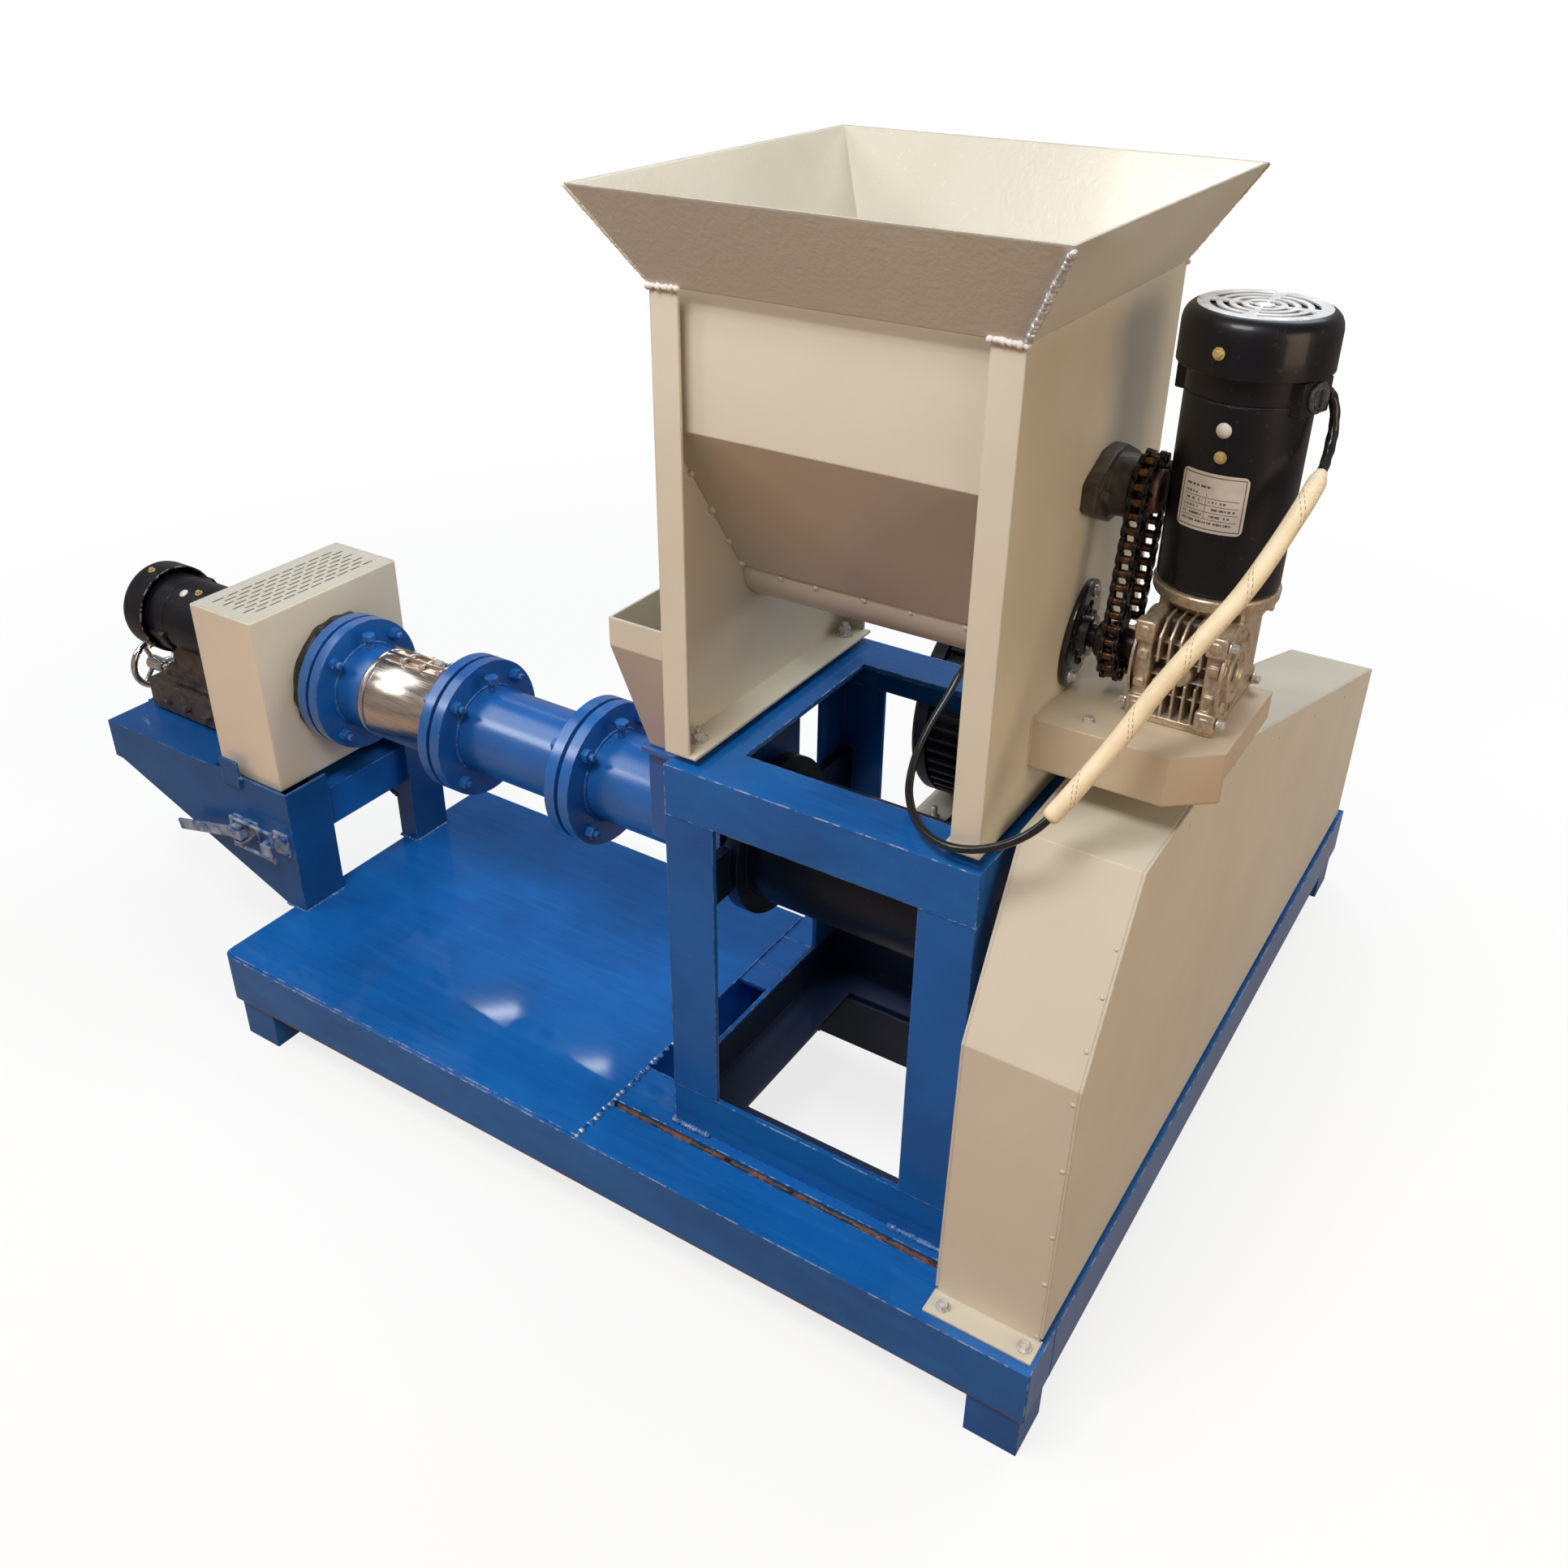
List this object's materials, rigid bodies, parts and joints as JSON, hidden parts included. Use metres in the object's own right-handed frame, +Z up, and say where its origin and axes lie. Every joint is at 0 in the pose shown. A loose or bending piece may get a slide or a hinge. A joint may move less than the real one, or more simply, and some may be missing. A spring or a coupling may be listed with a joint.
{
  "type": "fish feed extruder",
  "caption": "Single-screw fish feed extruder on a welded blue base, with square hopper, geared feed motor and chain, belt guard, flanged barrel and sliding face cutter.",
  "frame": {"origin": "Middle of the machine's bounding box in plan, at floor level under the feet.", "axes": "+X from the cutter end to the belt guard along the barrel, +Y from the open tower side to the main motor, +Z up."},
  "size_m": [1.6492, 1.225, 1.187],
  "materials": {
    "blue_paint": "gloss blue enamel brushed and sprayed over welds",
    "beige_paint": "satin beige powder coat, orange peel in the collar",
    "black_paint": "satin black enamel",
    "dark_iron": "oiled dark cast iron",
    "greasy_steel": "oiled black chain steel with brown rollers",
    "stainless": "polished stainless band",
    "chromed": "chrome plate",
    "alloy": "die-cast aluminium",
    "black_rubber": "black rubber",
    "woven_sleeve": "varnished woven glass sleeve"
  },
  "bodies": {
    "machine": {"base_long_beams": "blue_paint", "base_cross_beams": "blue_paint", "base_angles": "blue_paint", "base_sheet": "blue_paint", "feet": "blue_paint", "tower_posts": "blue_paint", "tower_frames": "blue_paint", "bearing_housing": "blue_paint", "inlet_barrel": "blue_paint", "middle_barrel": "blue_paint", "die_barrel": "blue_paint", "heater_band": "stainless", "die_head": "blue_paint", "die_seal": "black_rubber", "cutter_cover": "beige_paint", "cutter_arms": "blue_paint", "arm_deck": "blue_paint", "slide_base": "dark_iron", "latch_base": "blue_paint", "hopper_left_side": "beige_paint", "hopper_right_side": "beige_paint", "hopper_end_panels": "beige_paint", "hopper_collar": "beige_paint", "feed_tube": "beige_paint", "side_chute": "beige_paint", "agitator_bearing": "dark_iron", "shaft_plate": "black_paint", "chain_sprockets": "greasy_steel", "roller_chain": "greasy_steel", "gearbox_shelf": "beige_paint", "worm_gearbox": "alloy", "feed_motor": "black_paint", "feed_fan_cover": "black_paint", "main_motor": "black_paint", "motor_mount": "beige_paint", "guard_sheet": "beige_paint", "guard_side_panels": "beige_paint", "power_cable": "black_rubber", "cable_sleeve": "woven_sleeve"},
    "cutter_carriage": {"slide_carriage": "dark_iron", "cutter_motor": "black_paint", "cutter_fan_cover": "black_paint"},
    "wheel": {"handwheel": "chromed"},
    "lever": {"latch_lever": "blue_paint"},
    "bail": {"latch_bail": "blue_paint"}
  },
  "joints": [
    {"name": "cutter_slide", "type": "slide", "parent": "machine", "child": "cutter_carriage", "axis": [-1, 0, 0], "range_m": [0, 0.04]},
    {"name": "handwheel_turn", "type": "hinge", "parent": "cutter_carriage", "child": "wheel", "pos_m": [-0.81865, -0.3695, 0.367], "axis": [-1, 0, 0], "range_deg": [0, 3600]},
    {"name": "latch_lever_swing", "type": "hinge", "parent": "machine", "child": "lever", "pos_m": [-0.49065, -0.5025, 0.245], "axis": [0, 0, 1], "range_deg": [0, 90]},
    {"name": "latch_bail_swing", "type": "hinge", "parent": "lever", "child": "bail", "pos_m": [-0.50465, -0.5025, 0.245], "axis": [0, 0, 1], "range_deg": [-82, 0]}
  ],
  "couplings": [
    {"joint": "handwheel_turn", "follows": "cutter_slide", "rad_per_m": 1570},
    {"joint": "latch_bail_swing", "follows": "latch_lever_swing", "ratio": -0.89}
  ]
}
